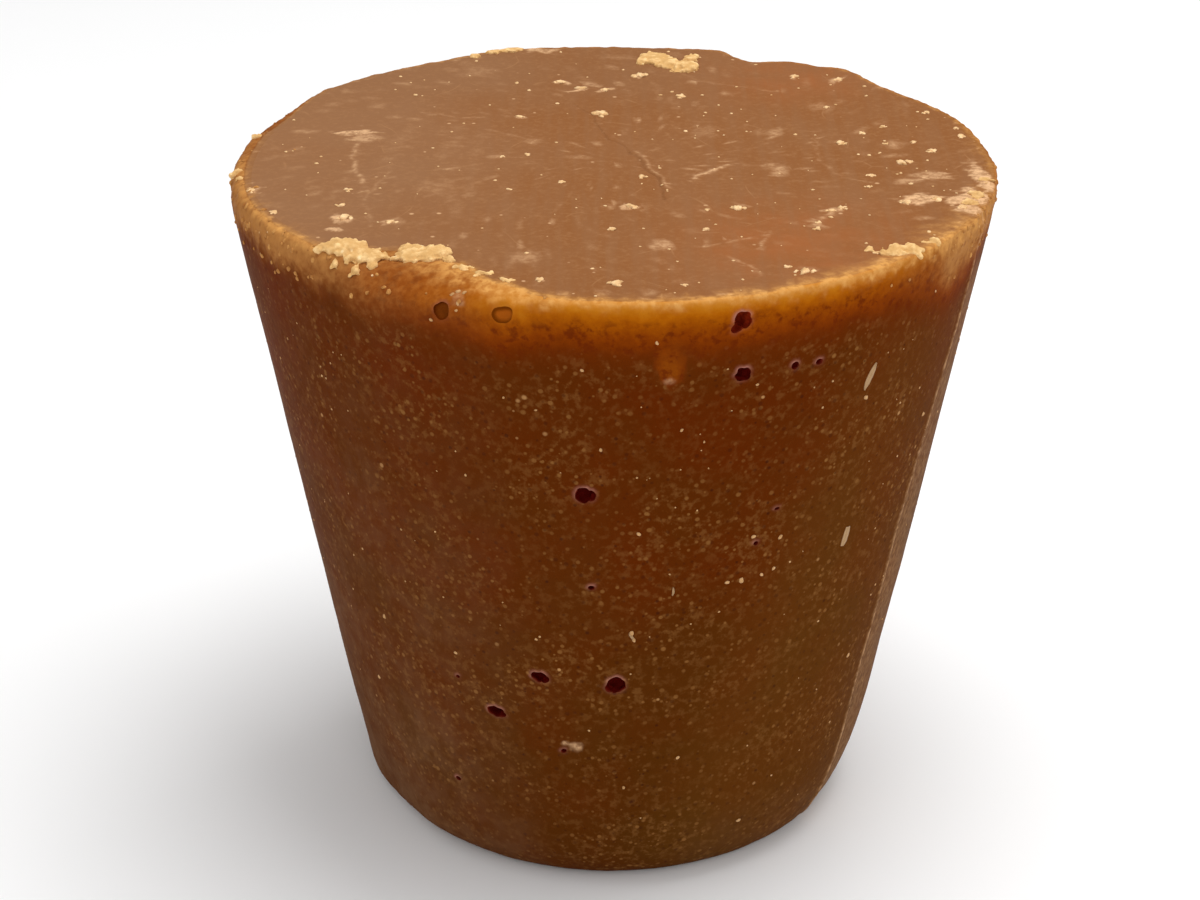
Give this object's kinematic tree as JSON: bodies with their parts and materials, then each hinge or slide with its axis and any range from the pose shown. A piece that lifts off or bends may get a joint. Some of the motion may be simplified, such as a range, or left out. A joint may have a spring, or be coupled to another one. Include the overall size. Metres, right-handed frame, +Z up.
{
  "type": "jaggery block",
  "caption": "Cast block of cane jaggery shaped like a tapered bucket, standing on its small end, with a flat top, a worn rim and blow holes.",
  "frame": {"origin": "centre of the block's outline, on the flat base that it stands on", "axes": "+Z up along the block's axis; -Y is the front, with the broken rim to its left"},
  "size_m": [0.1138, 0.1144, 0.1032],
  "materials": {
    "jaggery": "cast cane sugar: waxy dark red-brown sides, a thin amber rim and a dull light brown top",
    "dry_sugar": "pale yellow crumbs of dry sugar on the rim and the top",
    "cane_fibre": "straw-coloured bits of cane husk caught in the wall"
  },
  "bodies": {
    "root": {"jaggery_block": "jaggery"}
  },
  "joints": []
}
